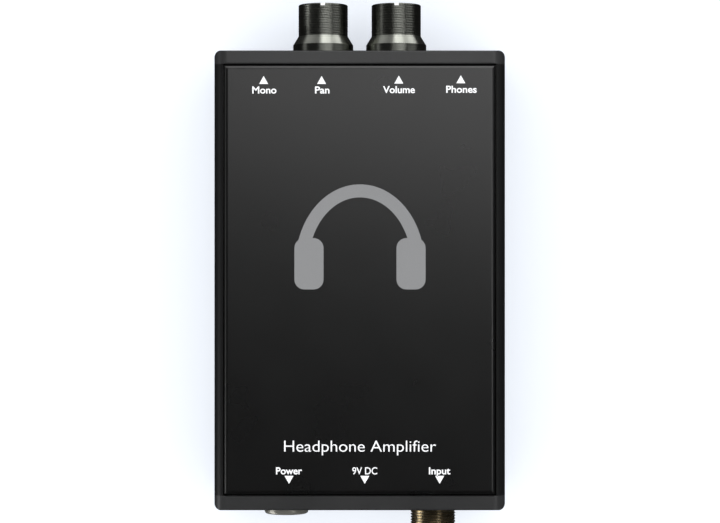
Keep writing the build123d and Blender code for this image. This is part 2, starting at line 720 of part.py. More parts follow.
def pot_bushing(x):
    """Square front plate with a shoulder and the threaded neck that the shaft runs in."""
    plate_front = POT_FRONT + POT_PLATE_THICKNESS
    with BuildPart() as bushing:
        extrude(
            cross_section(plate_front, around(x, POT_HALF), (POT_BOTTOM, BOARD_BOTTOM)),
            amount=POT_PLATE_THICKNESS,
        )
        revolve(
            half_section(
                x,
                [
                    (0, plate_front),
                    (POT_SHOULDER_RADIUS, plate_front),
                    (POT_SHOULDER_RADIUS, CONTROL_INNER),
                    (BUSHING_RADIUS, CONTROL_INNER),
                    (BUSHING_RADIUS, BUSHING_END),
                    (0, BUSHING_END),
                ],
            ),
            axis=turning_axis(x),
        )
        with BuildSketch(facing_connectors(BUSHING_END)):
            with Locations((x, AXIS_HEIGHT)):
                Circle(BUSHING_BORE)
        extrude(amount=BUSHING_END - POT_FRONT, mode=Mode.SUBTRACT)
    return bushing


def pot_shaft(x):
    """Shaft with its rotor disc inside the pot and a flat underneath for the set screw."""
    with BuildPart() as shaft:
        revolve(
            half_section(
                x,
                [
                    (0, SHAFT_NEAR),
                    (ROTOR_RADIUS, SHAFT_NEAR),
                    (ROTOR_RADIUS, SHAFT_NEAR + ROTOR_THICKNESS),
                    (SHAFT_RADIUS, SHAFT_NEAR + ROTOR_THICKNESS),
                    (SHAFT_RADIUS, SHAFT_END),
                    (0, SHAFT_END),
                ],
            ),
            axis=turning_axis(x),
        )
        extrude(
            cross_section(
                SHAFT_END,
                around(x, SHAFT_RADIUS),
                (AXIS_HEIGHT - SHAFT_RADIUS, AXIS_HEIGHT - SHAFT_FLAT),
            ),
            amount=SHAFT_END - SHAFT_FLAT_START,
            mode=Mode.SUBTRACT,
        )
    return shaft


def knob_blank(x):
    """Turned knob with a stepped skirt, hollow underneath for the panel nut."""
    with BuildPart() as blank:
        revolve(
            half_section(
                x,
                [
                    (0, KNOB_END),
                    (KNOB_RADIUS, KNOB_END),
                    (KNOB_RADIUS, CONE_END),
                    (SKIRT_RADIUS, SKIRT_END),
                    (SKIRT_RADIUS, KNOB_START),
                    (KNOB_POCKET_RADIUS, KNOB_START),
                    (KNOB_POCKET_RADIUS, KNOB_POCKET_END),
                    (KNOB_RELIEF_RADIUS, KNOB_POCKET_END),
                    (KNOB_RELIEF_RADIUS, KNOB_RELIEF_END),
                    (KNOB_BORE, KNOB_RELIEF_END),
                    (KNOB_BORE, KNOB_BORE_END),
                    (0, KNOB_BORE_END),
                ],
            ),
            axis=turning_axis(x),
        )
        fillet(blank.edges().group_by(Axis.Y)[-1], KNOB_EDGE_RADIUS)
        with BuildSketch(Plane.XY.offset(AXIS_HEIGHT - KNOB_BORE / 2)):
            with Locations((x, SET_SCREW_Y)):
                Circle(SET_SCREW_RADIUS)
        extrude(amount=-KNOB_RADIUS, mode=Mode.SUBTRACT)
    return blank


def pointer_slot(x):
    """Block that the pointer groove takes out of the knob's end."""
    return cross_section(
        KNOB_END,
        around(x, POINTER_WIDTH / 2),
        (AXIS_HEIGHT + POINTER_START, AXIS_HEIGHT + KNOB_RADIUS),
    )


def knob(x):
    """Knob with the pointer groove cut in its end."""
    with BuildPart() as turned:
        add(knob_blank(x).part)
        extrude(pointer_slot(x), amount=POINTER_DEPTH, mode=Mode.SUBTRACT)
    return turned


def pointer(x):
    """White inlay that fills the pointer groove."""
    with BuildPart() as inlay:
        add(knob_blank(x).part)
        extrude(pointer_slot(x), amount=POINTER_DEPTH, mode=Mode.INTERSECT)
    return inlay


def set_screw(x):
    """Grub screw that stands on the shaft's flat from underneath, with a hexagon socket."""
    with BuildPart() as screw:
        with BuildSketch(Plane.XY.offset(AXIS_HEIGHT - SHAFT_FLAT)):
            with Locations((x, SET_SCREW_Y)):
                Circle(SET_SCREW_RADIUS)
        extrude(amount=SHAFT_FLAT - SET_SCREW_OUTER)
        with BuildSketch(Plane.XY.offset(AXIS_HEIGHT - SET_SCREW_OUTER)):
            with Locations((x, SET_SCREW_Y)):
                RegularPolygon(SET_SCREW_SOCKET, HEXAGON)
        extrude(amount=SET_SCREW_SOCKET_DEPTH, mode=Mode.SUBTRACT)
    return screw


for control, x in (("pan", -KNOB_X), ("volume", KNOB_X)):
    save(pot_case(x), f"{control}_pot_case")
    save(pot_bushing(x), f"{control}_pot_bushing")
    save(pot_shaft(x), f"{control}_shaft")
    save(knob(x), f"{control}_knob")
    save(pointer(x), f"{control}_pointer")
    save(set_screw(x), f"{control}_set_screw")

KNOB_POINTS = ((-KNOB_X, AXIS_HEIGHT), (KNOB_X, AXIS_HEIGHT))
with BuildPart() as pot_washers:
    with BuildSketch(facing_connectors(CONTROL_FACE + WASHER_THICKNESS)):
        with Locations(*KNOB_POINTS):
            Circle(WASHER_RADIUS)
            Circle(BUSHING_RADIUS, mode=Mode.SUBTRACT)
    extrude(amount=WASHER_THICKNESS)
save(pot_washers, "pot_washers")

with BuildPart() as pot_nuts:
    with BuildSketch(facing_connectors(CONTROL_FACE + WASHER_THICKNESS + POT_NUT_THICKNESS)):
        with Locations(*KNOB_POINTS):
            RegularPolygon(POT_NUT_INRADIUS, HEXAGON, major_radius=False)
            Circle(BUSHING_RADIUS, mode=Mode.SUBTRACT)
    extrude(amount=POT_NUT_THICKNESS)
save(pot_nuts, "pot_nuts")


# ---- push buttons: each has a switch case, a square plunger and a return spring ----
def switch_case(x, half, bottom, front, back, plunger_side):
    """Switch body under the board, with a square well that the plunger slides in."""
    low, high = min(front, back), max(front, back)
    well_half = plunger_side / 2 + PLUNGER_CLEARANCE
    well_top = high if front > back else high - SWITCH_BACK_WALL
    with BuildPart() as case:
        extrude(cross_section(high, around(x, half), (bottom, BOARD_BOTTOM)), amount=high - low)
        extrude(
            cross_section(well_top, around(x, well_half), around(AXIS_HEIGHT, well_half)),
            amount=high - low - SWITCH_BACK_WALL,
            mode=Mode.SUBTRACT,
        )
    return case


def plunger(x, side, start, end):
    """Square plunger between the button's back and its far end in the switch."""
    with BuildPart() as bar:
        extrude(
            cross_section(max(start, end), around(x, side / 2), around(AXIS_HEIGHT, side / 2)),
            amount=abs(end - start),
        )
    return bar


def return_spring(x, radius, start, end):
    """Compression spring about the plunger, between the switch case and the button."""
    height = end - start - 2 * (SPRING_WIRE_RADIUS + SPRING_GAP)
    origin = (x, start + SPRING_WIRE_RADIUS + SPRING_GAP, AXIS_HEIGHT)
    with BuildPart() as spring:
        with BuildLine() as coil:
            Helix(SPRING_PITCH, height, radius, center=origin, direction=(0, 1, 0))
        with BuildSketch(coil.line ^ 0):
            Circle(SPRING_WIRE_RADIUS)
        sweep(is_frenet=True)
    return spring


with BuildPart() as mono_button:
    mono_end = CONTROL_FACE - MONO_INSET
    revolve(
        half_section(
            MONO_X,
            [
                (0, MONO_BACK),
                (MONO_FLANGE_RADIUS, MONO_BACK),
                (MONO_FLANGE_RADIUS, MONO_BACK + MONO_FLANGE_THICKNESS),
                (MONO_RADIUS, MONO_BACK + MONO_FLANGE_THICKNESS),
                (MONO_RADIUS, mono_end),
                (0, mono_end),
            ],
        ),
        axis=turning_axis(MONO_X),
    )
    fillet(mono_button.edges().group_by(Axis.Y)[-1], MONO_EDGE_RADIUS)
save(mono_button, "mono_button")
save(plunger(MONO_X, MONO_PLUNGER_SIDE, MONO_BACK, MONO_PLUNGER_END), "mono_plunger")
save(
    switch_case(
        MONO_X, MONO_CASE_HALF, MONO_CASE_BOTTOM, MONO_CASE_FRONT, MONO_CASE_BACK, MONO_PLUNGER_SIDE
    ),
    "mono_switch_case",
)
save(return_spring(MONO_X, MONO_SPRING_RADIUS, MONO_CASE_FRONT, MONO_BACK), "mono_spring")

with BuildPart() as power_button:
    power_end = CONNECTOR_FACE - POWER_REACH
    dome_edge = power_end + POWER_DOME
    with BuildSketch(Plane.XY.offset(AXIS_HEIGHT)):
        with BuildLine():
            Polyline(
                (POWER_X + POWER_RADIUS, dome_edge),
                (POWER_X + POWER_RADIUS, POWER_FLANGE_START),
                (POWER_X + POWER_FLANGE_RADIUS, POWER_FLANGE_START),
                (POWER_X + POWER_FLANGE_RADIUS, POWER_BACK),
                (POWER_X, POWER_BACK),
                (POWER_X, power_end),
            )
            TangentArc((POWER_X, power_end), (POWER_X + POWER_RADIUS, dome_edge), tangent=(1, 0))
        section = make_face()
        rim = section.vertices().sort_by_distance((POWER_X + POWER_RADIUS, dome_edge, AXIS_HEIGHT))
        fillet(rim[0], POWER_EDGE_RADIUS)
    revolve(axis=turning_axis(POWER_X))
save(power_button, "power_button")
save(plunger(POWER_X, POWER_PLUNGER_SIDE, POWER_BACK, POWER_PLUNGER_END), "power_plunger")
save(
    switch_case(
        POWER_X, POWER_CASE_HALF, POWER_CASE_BOTTOM, POWER_CASE_FRONT, POWER_CASE_BACK, POWER_PLUNGER_SIDE
    ),
    "power_switch_case",
)
save(return_spring(POWER_X, POWER_SPRING_RADIUS, POWER_BACK, POWER_CASE_FRONT), "power_spring")


# ---- phones jack: a metal sleeve in a moulded housing, with the tip contact behind it ----
with BuildPart() as phones_jack_sleeve:
    revolve(
        half_section(
            PHONES_X,
            [
                (PHONES_BORE, CONTROL_FACE - PHONES_DEPTH),
                (PHONES_SLEEVE_RADIUS, CONTROL_FACE - PHONES_DEPTH),
                (PHONES_SLEEVE_RADIUS, CONTROL_FACE),
                (PHONES_BORE, CONTROL_FACE),
            ],
        ),
        axis=turning_axis(PHONES_X),
    )
save(phones_jack_sleeve, "phones_jack_sleeve")

TIP_CONTACT_BACK = TIP_CONTACT_START + TIP_CONTACT_THICKNESS
with BuildPart() as phones_jack_housing:
    extrude(
        cross_section(PHONES_FRONT, around(PHONES_X, PHONES_HALF), (PHONES_BOTTOM, BOARD_BOTTOM)),
        amount=PHONES_FRONT - PHONES_BACK,
    )
    with BuildSketch(facing_connectors(PHONES_FRONT)):
        with Locations((PHONES_X, AXIS_HEIGHT)):
            Circle(PHONES_SLEEVE_RADIUS)
    extrude(amount=PHONES_FRONT - CONTROL_FACE + PHONES_DEPTH, mode=Mode.SUBTRACT)
    with BuildSketch(facing_connectors(CONTROL_FACE - PHONES_DEPTH)):
        with Locations((PHONES_X, AXIS_HEIGHT)):
            Circle(PHONES_TIP_RADIUS)
    extrude(amount=CONTROL_FACE - PHONES_DEPTH - PHONES_TIP_BACK, mode=Mode.SUBTRACT)
    extrude(
        cross_section(
            TIP_CONTACT_BACK,
            around(PHONES_X, TIP_CONTACT_WIDTH / 2),
            (AXIS_HEIGHT + TIP_CONTACT_RISE, BOARD_BOTTOM),
        ),
        amount=TIP_CONTACT_THICKNESS,
        mode=Mode.SUBTRACT,
    )
save(phones_jack_housing, "phones_jack_housing")

with BuildPart() as phones_jack_contacts:
    extrude(
        cross_section(
            TIP_CONTACT_BACK,
            around(PHONES_X, TIP_CONTACT_WIDTH / 2),
            (AXIS_HEIGHT + TIP_CONTACT_RISE, BOARD_BOTTOM),
        ),
        amount=TIP_CONTACT_THICKNESS,
    )
    contact_end = CONTROL_FACE - PHONES_DEPTH
    extrude(
        cross_section(
            contact_end,
            around(PHONES_X, TIP_CONTACT_WIDTH / 2),
            (AXIS_HEIGHT + TIP_CONTACT_RISE, AXIS_HEIGHT + TIP_CONTACT_RISE + TIP_CONTACT_THICKNESS),
        ),
        amount=contact_end - TIP_CONTACT_START,
    )
save(phones_jack_contacts, "phones_jack_contacts")


# ---- direct-current jack: moulded socket with a centre pin and a side spring ----
with BuildPart() as dc_jack_housing:
    extrude(
        cross_section(DC_BACK, around(0, DC_HALF), (DC_BOTTOM, BOARD_BOTTOM)),
        amount=DC_BACK - CONNECTOR_INNER,
    )
    with BuildSketch(facing_connectors(CONNECTOR_INNER)):
        with Locations((0, AXIS_HEIGHT)):
            Circle(DC_NOSE_RADIUS)
    extrude(amount=CONNECTOR_CAP_THICKNESS)
    with BuildSketch(facing_connectors(DC_SOCKET_END)):
        with Locations((0, AXIS_HEIGHT)):
            Circle(DC_SOCKET_RADIUS)
    extrude(amount=DC_SOCKET_END - CONNECTOR_FACE, mode=Mode.SUBTRACT)
    with BuildSketch(facing_connectors(DC_PIN_ROOT_END)):
        with Locations((0, AXIS_HEIGHT)):
            Circle(DC_PIN_ROOT_RADIUS)
    extrude(amount=DC_PIN_ROOT_END - DC_SOCKET_END, mode=Mode.SUBTRACT)
    extrude(
        cross_section(
            DC_SPRING_END,
            around(0, DC_SPRING_WIDTH / 2 + DC_SLOT_MARGIN),
            (AXIS_HEIGHT - DC_SLOT_DROP, AXIS_HEIGHT - DC_SOCKET_RADIUS / 2),
        ),
        amount=DC_SPRING_END - DC_SPRING_START,
        mode=Mode.SUBTRACT,
    )
save(dc_jack_housing, "dc_jack_housing")

with BuildPart() as dc_jack_pin:
    revolve(
        half_section(
            0,
            [
                (0, DC_PIN_START),
                (DC_PIN_RADIUS, DC_PIN_START),
                (DC_PIN_RADIUS, DC_SOCKET_END),
                (DC_PIN_ROOT_RADIUS, DC_SOCKET_END),
                (DC_PIN_ROOT_RADIUS, DC_PIN_ROOT_END),
                (0, DC_PIN_ROOT_END),
            ],
        ),
        axis=turning_axis(0),
    )
    fillet(dc_jack_pin.edges().group_by(Axis.Y)[0], DC_PIN_TIP_RADIUS)
save(dc_jack_pin, "dc_jack_pin")

with BuildPart() as dc_jack_spring:
    extrude(
        cross_section(
            DC_SPRING_END,
            around(0, DC_SPRING_WIDTH / 2),
            (AXIS_HEIGHT - DC_SPRING_DROP - DC_SPRING_THICKNESS, AXIS_HEIGHT - DC_SPRING_DROP),
        ),
        amount=DC_SPRING_END - DC_SPRING_START,
    )
save(dc_jack_spring, "dc_jack_spring")


# ---- input connector: threaded barrel, insulator, pins to the board and panel nut ----
with BuildPart() as input_shell:
    revolve(
        half_section(
            INPUT_X,
            [
                (BARREL_BORE, CONNECTOR_FACE - CONNECTOR_REACH),
                (BARREL_RADIUS, CONNECTOR_FACE - CONNECTOR_REACH),
                (BARREL_RADIUS, CONNECTOR_FACE),
                (NECK_RADIUS, CONNECTOR_FACE),
                (NECK_RADIUS, NECK_END),
                (NECK_BORE, NECK_END),
                (NECK_BORE, BARREL_STEP),
                (BARREL_BORE, BARREL_STEP),
            ],
        ),
        axis=turning_axis(INPUT_X),
    )
    chamfer(input_shell.edges().group_by(Axis.Y)[0].sort_by(SortBy.LENGTH)[-1], BARREL_EDGE_CHAMFER)
    keyway_heights = (AXIS_HEIGHT + NECK_BORE, AXIS_HEIGHT + BARREL_BORE + KEYWAY_DEPTH)
    extrude(
        cross_section(BARREL_STEP, around(INPUT_X, KEYWAY_WIDTH / 2), keyway_heights),
        amount=BARREL_STEP - CONNECTOR_FACE + CONNECTOR_REACH,
        mode=Mode.SUBTRACT,
    )
save(input_shell, "input_shell")

PIN_CIRCLE = PolarLocations(INPUT_PIN_CIRCLE, INPUT_PIN_COUNT, start_angle=90)
PIN_OFFSETS = [(place.position.X, place.position.Y) for place in PIN_CIRCLE.local_locations]
with BuildPart() as input_insulator:
    revolve(
        half_section(
            INPUT_X,
            [
                (0, INSULATOR_FACE),
                (INSULATOR_HEAD_RADIUS, INSULATOR_FACE),
                (INSULATOR_HEAD_RADIUS, BARREL_STEP),
                (INSULATOR_STEM_RADIUS, BARREL_STEP),
                (INSULATOR_STEM_RADIUS, INSULATOR_END),
                (0, INSULATOR_END),
            ],
        ),
        axis=turning_axis(INPUT_X),
    )
    with BuildSketch(facing_connectors(INSULATOR_END)):
        with Locations(*[(INPUT_X + across, AXIS_HEIGHT + up) for across, up in PIN_OFFSETS]):
            Circle(INPUT_PIN_RADIUS)
    extrude(amount=INSULATOR_END - INSULATOR_FACE, mode=Mode.SUBTRACT)
save(input_insulator, "input_insulator")

with BuildPart() as input_pins:
    for across, up in PIN_OFFSETS:
        pin_x = INPUT_X + across
        bend = INPUT_UPPER_BEND if up > 0 else INPUT_LOWER_BEND
        with BuildSketch(facing_connectors(bend)):
            with Locations((pin_x, AXIS_HEIGHT + up)):
                Circle(INPUT_PIN_RADIUS)
        extrude(amount=bend - INPUT_PIN_START)
        extrude(
            cross_section(
                bend + INPUT_TAIL_HALF,
                around(pin_x, INPUT_TAIL_HALF),
                (AXIS_HEIGHT + up - INPUT_TAIL_HALF, BOARD_BOTTOM),
            ),
            amount=2 * INPUT_TAIL_HALF,
        )
save(input_pins, "input_pins")

with BuildPart() as input_nut:
    with BuildSketch(facing_connectors(CONNECTOR_INNER + INPUT_NUT_THICKNESS)):
        with Locations((INPUT_X, AXIS_HEIGHT)):
            RegularPolygon(INPUT_NUT_INRADIUS, HEXAGON, major_radius=False)
            Circle(NECK_RADIUS, mode=Mode.SUBTRACT)
    extrude(amount=INPUT_NUT_THICKNESS)
save(input_nut, "input_nut")
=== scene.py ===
import json
import math

import bmesh
import bpy
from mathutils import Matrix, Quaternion, Vector


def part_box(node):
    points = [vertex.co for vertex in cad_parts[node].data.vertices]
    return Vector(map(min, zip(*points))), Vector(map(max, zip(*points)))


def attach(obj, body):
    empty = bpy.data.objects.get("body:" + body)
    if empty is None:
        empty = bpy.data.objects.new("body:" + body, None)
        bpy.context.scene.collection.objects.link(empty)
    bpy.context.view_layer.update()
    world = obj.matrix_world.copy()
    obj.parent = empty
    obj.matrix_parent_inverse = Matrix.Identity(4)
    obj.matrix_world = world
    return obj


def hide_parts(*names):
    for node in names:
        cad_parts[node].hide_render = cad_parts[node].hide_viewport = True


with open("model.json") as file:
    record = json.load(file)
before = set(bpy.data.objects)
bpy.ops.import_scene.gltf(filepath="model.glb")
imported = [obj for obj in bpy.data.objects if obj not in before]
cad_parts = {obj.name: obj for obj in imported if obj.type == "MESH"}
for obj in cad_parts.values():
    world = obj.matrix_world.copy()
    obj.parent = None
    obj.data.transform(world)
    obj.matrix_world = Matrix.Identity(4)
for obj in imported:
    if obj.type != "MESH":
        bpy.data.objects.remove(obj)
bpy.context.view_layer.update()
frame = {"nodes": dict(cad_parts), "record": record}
MM = 0.001
NODES = frame["nodes"]


# ---------------------------------------------------------------- places read from the frame
def centre(node):
    """Middle of a CAD node's box at rest."""
    low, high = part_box(node)
    return (low + high) / 2


PLATE_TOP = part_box("top_plate")[1].z
CONTROL_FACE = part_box("control_end_cap")[1].y
CONNECTOR_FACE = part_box("connector_end_cap")[0].y
BODY_MIDDLE_Y = (CONTROL_FACE + CONNECTOR_FACE) / 2
AXIS_Z = centre("pan_knob").z
INPUT_AXIS_X = centre("input_shell").x
KNOB_AXIS_X = centre("volume_knob").x
KNOB_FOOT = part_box("volume_knob")[0].y

# a knob's skirt and cone end this far above its foot
SKIRT_TOP, CONE_TOP = 2.5 * MM, 4.8 * MM


# ---------------------------------------------------------------- material building blocks
class Nodes:
    """Short way to add and join shader nodes in one material."""

    def __init__(self, name):
        self.material = bpy.data.materials.new(name)
        self.material.use_nodes = True
        self.tree = self.material.node_tree
        self.shader = self.tree.nodes["Principled BSDF"]
        self.place = self.add("ShaderNodeTexCoord").outputs["Object"]

    def add(self, kind, **settings):
        node = self.tree.nodes.new(kind)
        for key, value in settings.items():
            setattr(node, key, value)
        return node

    def join(self, source, target):
        self.tree.links.new(source, target)

    def constant(self, **values):
        """Sets shader sockets that are the same all over the surface."""
        for key, value in values.items():
            self.shader.inputs[key.replace("_", " ")].default_value = value

    def axes(self):
        """X, Y and Z of the object coordinates as three values."""
        split = self.add("ShaderNodeSeparateXYZ")
        self.join(self.place, split.inputs["Vector"])
        return split.outputs["X"], split.outputs["Y"], split.outputs["Z"]

    def noise(self, scale, detail=3.0, roughness=0.55, vector=None):
        node = self.add("ShaderNodeTexNoise")
        node.inputs["Scale"].default_value = scale
        node.inputs["Detail"].default_value = detail
        node.inputs["Roughness"].default_value = roughness
        self.join(vector or self.place, node.inputs["Vector"])
        return node.outputs["Fac"]

    def ramp(self, factor, stops):
        """Colour ramp from (position, colour) stops."""
        node = self.add("ShaderNodeValToRGB")
        elements = node.color_ramp.elements
        while len(elements) < len(stops):
            elements.new(0.5)
        for element, (position, colour) in zip(elements, stops):
            element.position = position
            element.color = (*colour, 1.0)
        self.join(factor, node.inputs["Fac"])
        return node.outputs["Color"]

    def scaled(self, factor, low, high, start=0.0, end=1.0):
        """A value that runs from start to end, mapped to run from low to high."""
        node = self.add("ShaderNodeMapRange")
        for socket, value in (("From Min", start), ("From Max", end), ("To Min", low), ("To Max", high)):
            node.inputs[socket].default_value = value
        self.join(factor, node.inputs["Value"])
        return node.outputs["Result"]

    def maths(self, operation, *values):
        """Math node on sockets and plain numbers."""
        node = self.add("ShaderNodeMath", operation=operation)
        for socket, value in zip(node.inputs, values):
            if isinstance(value, (int, float)):
                socket.default_value = value
            else:
                self.join(value, socket)
        return node.outputs["Value"]

    def length(self, across, up):
        squares = [self.maths("MULTIPLY", value, value) for value in (across, up)]
        return self.maths("SQRT", self.maths("ADD", *squares))

    def times(self, colour, factor):
        node = self.add("ShaderNodeVectorMath", operation="SCALE")
        self.join(colour, node.inputs[0])
        self.join(factor, node.inputs["Scale"])
        return node.outputs["Vector"]

    def bump(self, height, distance_mm, strength=1.0, under=None):
        node = self.add("ShaderNodeBump")
        node.inputs["Distance"].default_value = distance_mm * MM
        node.inputs["Strength"].default_value = strength
        self.join(height, node.inputs["Height"])
        if under is not None:
            self.join(under, node.inputs["Normal"])
        return node.outputs["Normal"]

    def finish(self, colour, roughness, normal=None):
        for socket, source in (("Base Color", colour), ("Roughness", roughness), ("Normal", normal)):
            if source is not None:
                self.join(source, self.shader.inputs[socket])
        return self.material


def grey(value, warmth=0.0):
    """Neutral colour, or a slightly warm one."""
    return (value * (1 + warmth), value, value * (1 - warmth))


def toned(colour, share):
    """The same hue, darker or lighter."""
    return tuple(channel * share for channel in colour)


# ---------------------------------------------------------------- kinds of material
def painted(name, value, roughness, grain_mm, depth_mm, gloss):
    """Sprayed paint: faint mottling in tone and gloss over a fine orange-peel surface."""
    m = Nodes(name)
    broad = m.noise(scale=60.0, detail=2.0)
    fine = m.noise(scale=1 / (grain_mm * MM), detail=2.0)
    m.constant(Specular_IOR_Level=gloss)
    return m.finish(
        m.ramp(broad, [(0.3, grey(value * 0.9)), (0.7, grey(value * 1.1))]),
        m.scaled(broad, roughness - 0.02, roughness + 0.02),
        m.bump(fine, depth_mm),
    )


def moulded(name, colour, roughness):
    """Moulded plastic with a spark-eroded texture."""
    m = Nodes(name)
    fine = m.noise(scale=3500.0, detail=4.0, roughness=0.7)
    return m.finish(
        m.ramp(fine, [(0.35, toned(colour, 0.85)), (0.7, colour)]),
        m.scaled(fine, roughness - 0.06, roughness + 0.06),
        m.bump(fine, distance_mm=0.03, strength=0.6),
    )


def metal(name, colour, roughness):
    """Bare or plated metal with fine tool marks and a faint cloudiness."""
    m = Nodes(name)
    marks = m.noise(scale=900.0, roughness=0.6)
    cloud = m.noise(scale=250.0)
    m.constant(Metallic=1.0)
    return m.finish(
        m.ramp(cloud, [(0.3, toned(colour, 0.88)), (0.7, colour)]),
        m.scaled(marks, roughness * 0.8, roughness * 1.2),
        m.bump(marks, distance_mm=0.004),
    )


def turned(name, colour, roughness, anisotropy, axis_x, lines, metallic=1.0, painted_highlight=None):
    """Lathe-turned metal: rings about the axes that run along Y at plus and minus axis_x.

    A painted highlight is a stretch of Y whose colour is painted lighter, standing in for the
    highlight of the lights on it: (start, end, how many times lighter).
    """
    m = Nodes(name)
    x, y, z = m.axes()
    from_axis = m.maths("SUBTRACT", m.maths("ABSOLUTE", x), axis_x)
    radius = m.length(from_axis, m.maths("SUBTRACT", z, AXIS_Z))
    around_axis = m.add("ShaderNodeCombineXYZ")
    m.join(radius, around_axis.inputs["X"])
    m.join(y, around_axis.inputs["Y"])
    rings = m.noise(scale=lines, detail=2.0, roughness=0.7, vector=around_axis.outputs["Vector"])
    broad = m.noise(scale=lines / 6, detail=2.0, roughness=0.5, vector=around_axis.outputs["Vector"])
    m.constant(Metallic=metallic, Anisotropic=anisotropy, Anisotropic_Rotation=0.25)
    tangent = m.add("ShaderNodeTangent", direction_type="RADIAL", axis="Y")
    m.join(tangent.outputs["Tangent"], m.shader.inputs["Tangent"])
    tone = m.ramp(broad, [(0.3, toned(colour, 0.8)), (0.7, colour)])
    # painted highlight: the colour over this stretch of Y is made lighter in place of light falling on it
    if painted_highlight:
        start, end, lighter = painted_highlight
        inside = m.maths("COMPARE", y, (start + end) / 2, (end - start) / 2)
        tone = m.times(tone, m.maths("MULTIPLY_ADD", inside, lighter - 1, 1.0))
    fine_rings = m.bump(rings, distance_mm=0.006)
    return m.finish(
        tone,
        m.scaled(rings, roughness * 0.8, roughness * 1.25),
        m.bump(broad, distance_mm=0.01, under=fine_rings),
    )


def rubber(name):
    """Soft rubber with a dusty bloom in its grain."""
    m = Nodes(name)
    fine = m.noise(scale=2600.0, detail=4.0, roughness=0.65)
    m.constant(Specular_IOR_Level=0.3)
    return m.finish(
        m.ramp(fine, [(0.35, grey(0.012)), (0.75, grey(0.03))]),
        m.scaled(fine, 0.75, 0.95),
        m.bump(fine, distance_mm=0.04, strength=0.7),
    )


def printed(name, value):
    """Screen-printed ink: even, with slightly ragged density."""
    m = Nodes(name)
    fine = m.noise(scale=3000.0)
    return m.finish(
        m.ramp(fine, [(0.2, grey(value * 0.93)), (0.6, grey(value))]),
        m.scaled(fine, 0.5, 0.62),
        m.bump(fine, distance_mm=0.004),
    )


def laminate(name):
    """Green circuit board: solder mask over copper tracks running both ways."""
    m = Nodes(name)
    cells = m.add("ShaderNodeTexVoronoi", feature="DISTANCE_TO_EDGE", distance="MANHATTAN")
    cells.inputs["Scale"].default_value = 330.0
    m.join(m.place, cells.inputs["Vector"])
    track, mask = (0.03, 0.24, 0.09), (0.01, 0.1, 0.04)
    m.constant(Coat_Weight=0.5)
    return m.finish(
        m.ramp(cells.outputs["Distance"], [(0.06, track), (0.12, mask)]),
        m.scaled(m.noise(scale=800.0), 0.3, 0.45),
        m.bump(cells.outputs["Distance"], distance_mm=0.03),
    )


def jacket(name):
    """Battery jacket: a copper-coloured band at the terminal end, dark grey for the rest."""
    m = Nodes(name)
    terminal_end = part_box("battery")[1].y
    along = m.axes()[1]
    band = m.scaled(along, 0.0, 1.0, start=terminal_end - 12.2 * MM, end=terminal_end - 12.0 * MM)
    scuffs = m.noise(scale=700.0, detail=4.0)
    dark, copper = (0.03, 0.032, 0.04), (0.45, 0.2, 0.07)
    m.constant(Metallic=0.6)
    return m.finish(
        m.ramp(band, [(0.0, dark), (1.0, copper)]),
        m.scaled(scuffs, 0.25, 0.42),
        m.bump(scuffs, distance_mm=0.004),
    )


def paper(name, colour, glow):
    """Matt backdrop paper that also glows evenly."""
    m = Nodes(name)
    tone = m.noise(scale=3.0, detail=2.0)
    m.constant(Specular_IOR_Level=0.0, Emission_Color=(*glow, 1.0), Emission_Strength=1.0)
    return m.finish(
        m.ramp(tone, [(0.3, colour), (0.7, toned(colour, 1.01))]),
        m.scaled(tone, 0.7, 0.8),
    )


# ---------------------------------------------------------------- materials
# painted highlight: the knobs' cones are coloured this many times lighter than the rest, in place of the key
# lights' highlight on them
CONE_HIGHLIGHT_GAIN = 2.7
KNOB_CONE_PAINTED_HIGHLIGHT = (KNOB_FOOT + SKIRT_TOP, KNOB_FOOT + CONE_TOP, CONE_HIGHLIGHT_GAIN)
FINISHES = {
    "case_paint": (painted, dict(value=0.006, roughness=0.36, grain_mm=0.35, depth_mm=0.003, gloss=0.3)),
    "plate_paint": (painted, dict(value=0.0025, roughness=0.28, grain_mm=0.25, depth_mm=0.002, gloss=1.0)),
    "cap_paint": (painted, dict(value=0.022, roughness=0.32, grain_mm=0.3, depth_mm=0.003, gloss=0.5)),
    "black_screws": (metal, dict(colour=grey(0.08), roughness=0.4)),
    "foot_rubber": (rubber, {}),
    "insert_brass": (metal, dict(colour=(0.72, 0.5, 0.22), roughness=0.32)),
    "black_plastic": (moulded, dict(colour=grey(0.02), roughness=0.5)),
    "steel": (metal, dict(colour=grey(0.55), roughness=0.3)),
    "battery_jacket": (jacket, {}),
    "nickel": (metal, dict(colour=grey(0.4, warmth=0.05), roughness=0.3)),
    "board_laminate": (laminate, {}),
    "chip_epoxy": (moulded, dict(colour=grey(0.02), roughness=0.6)),
    "capacitor_sleeve": (moulded, dict(colour=(0.02, 0.03, 0.12), roughness=0.3)),
    "resistor_ceramic": (moulded, dict(colour=grey(0.05), roughness=0.4)),
    "knob_metal": (turned, dict(
        colour=(0.26, 0.267, 0.24), roughness=0.3, anisotropy=0.8, axis_x=KNOB_AXIS_X, lines=9000.0,
        painted_highlight=KNOB_CONE_PAINTED_HIGHLIGHT,
    )),
    "white_inlay": (printed, dict(value=0.9)),
    "emblem_ink": (printed, dict(value=0.21)),
    "button_metal": (turned, dict(
        colour=(0.45, 0.44, 0.39), roughness=0.36, anisotropy=0.5, axis_x=INPUT_AXIS_X, lines=7000.0,
        metallic=0.75,
    )),
    "connector_metal": (turned, dict(
        colour=(0.72, 0.63, 0.465), roughness=0.26, anisotropy=0.4, axis_x=INPUT_AXIS_X, lines=7000.0,
    )),
    "pot_metal": (metal, dict(colour=grey(0.5), roughness=0.35)),
    "spring_steel": (metal, dict(colour=grey(0.45), roughness=0.25)),
}
MATERIALS = {name: make(name, **look) for name, (make, look) in FINISHES.items()}

for row in frame["record"]["subparts"]:
    part = NODES[row["node"]]
    if not part.material_slots:
        part.data.materials.append(None)
    for part_slot in part.material_slots:
        part_slot.material = MATERIALS[row["material_slot"]]


# ---------------------------------------------------------------- mesh building blocks
LATHE_SEGMENTS = 160


